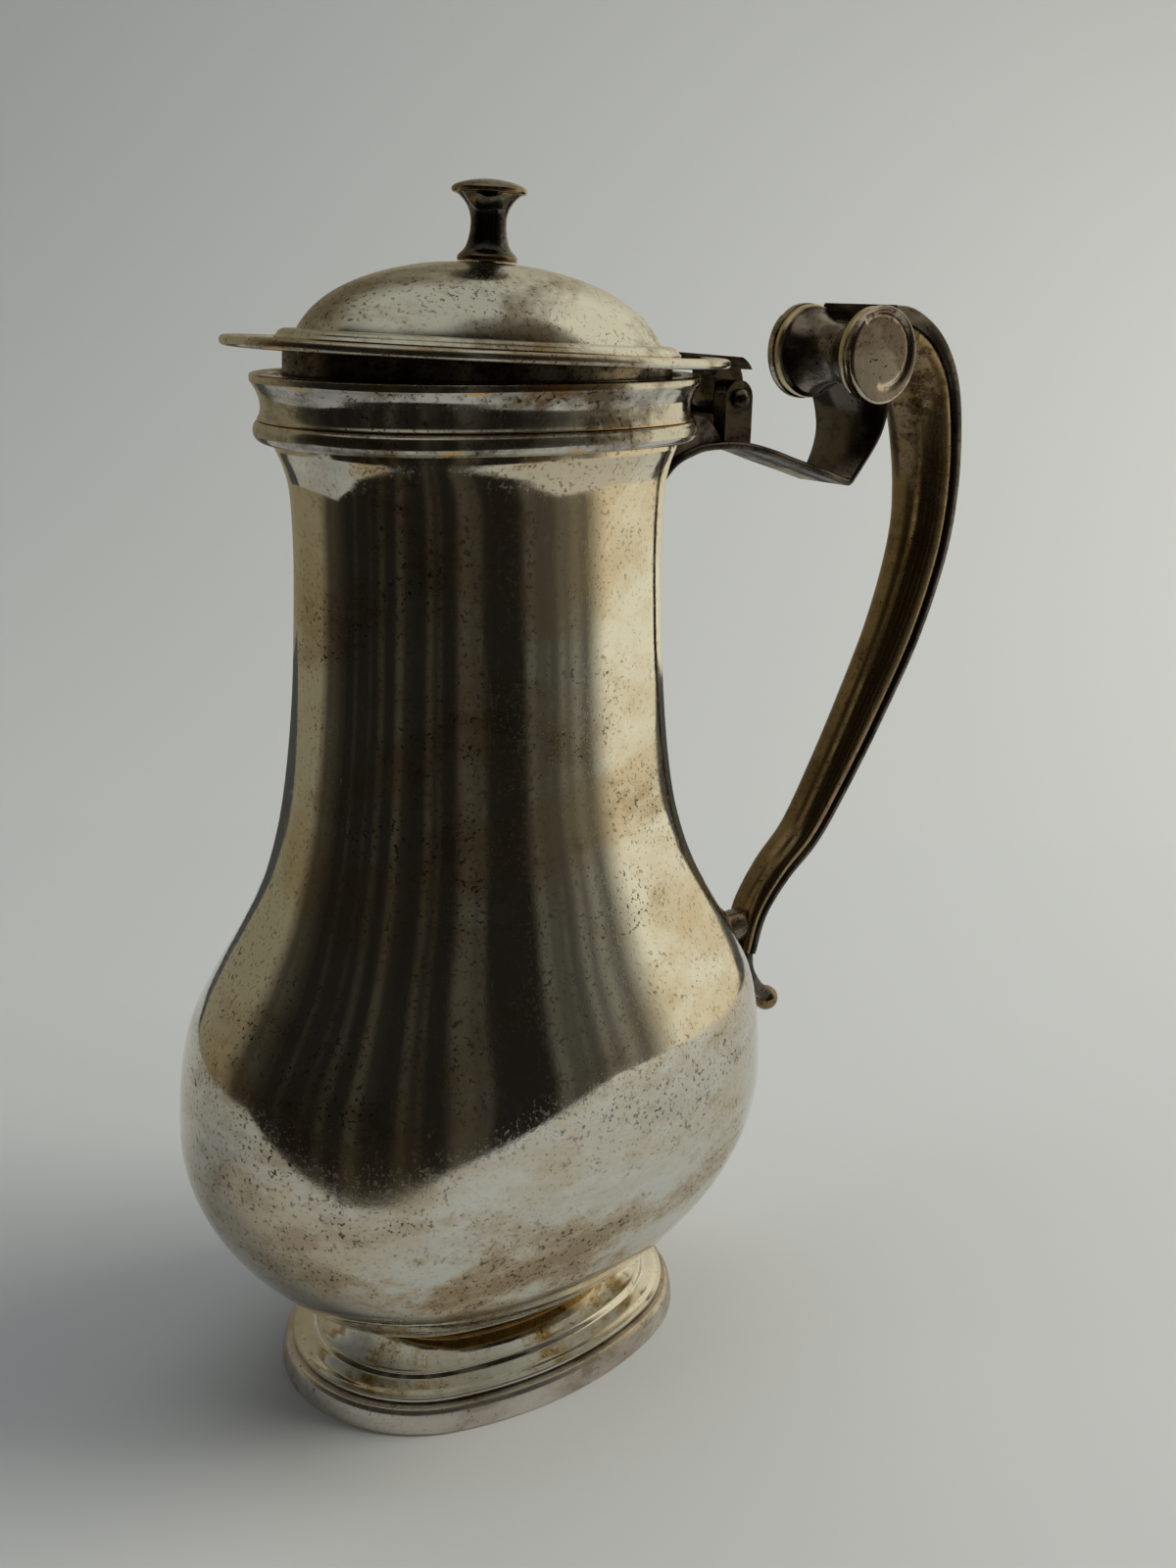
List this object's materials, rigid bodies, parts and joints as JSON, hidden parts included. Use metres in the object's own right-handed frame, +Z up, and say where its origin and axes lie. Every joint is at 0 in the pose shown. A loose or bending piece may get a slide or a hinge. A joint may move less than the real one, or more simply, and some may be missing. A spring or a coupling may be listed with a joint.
{
  "type": "barber's jug",
  "caption": "Oval baluster water jug with a hinged domed lid, turned knob, moulded foot and scroll handle with a volute.",
  "frame": {"origin": "centre of the underside of the foot, on the plane the jug stands on", "axes": "+Z up through the knob, +X from the middle of the jug to the handle, +Y to the left of a person who looks along +X, across the oval"},
  "size_m": [0.1808, 0.086, 0.2216],
  "materials": {
    "worn_silver": "worn silver plate, polished and scratched",
    "foot_silver": "bright worn silver plate",
    "dark_silver": "tarnished silver plate",
    "worn_brass": "brass showing through worn plate",
    "brassy_edge": "half-worn plate over brass",
    "brass": "bare brass",
    "solder": "dull grey solder"
  },
  "bodies": {
    "jug": {"body_shell": "worn_silver", "rim_band": "worn_silver", "rim_bead": "brassy_edge", "foot_collar": "brassy_edge", "foot_cove": "foot_silver", "foot_base_band": "foot_silver", "hinge_bracket": "dark_silver", "hinge_pin": "brass", "hinge_solder": "solder", "handle_strap": "dark_silver", "volute_core": "dark_silver", "volute_near_end": "dark_silver", "volute_far_end": "dark_silver", "handle_grip": "worn_brass", "handle_back_strip": "dark_silver", "handle_tail": "dark_silver", "handle_lug": "dark_silver", "lug_pad": "dark_silver"},
    "lid": {"lid_flange": "worn_silver", "lid_step": "worn_silver", "lid_dome": "worn_silver", "lid_bezel": "worn_silver", "finial_knob": "worn_silver", "finial_cap": "brass", "finial_washer": "brass", "finial_nut": "brass", "lid_leaf": "dark_silver"}
  },
  "joints": [
    {"name": "lid_hinge", "type": "hinge", "parent": "jug", "child": "lid", "pos_m": [0.054, 0, 0.185], "axis": [0, 1, 0], "range_deg": [-2, 95]}
  ]
}
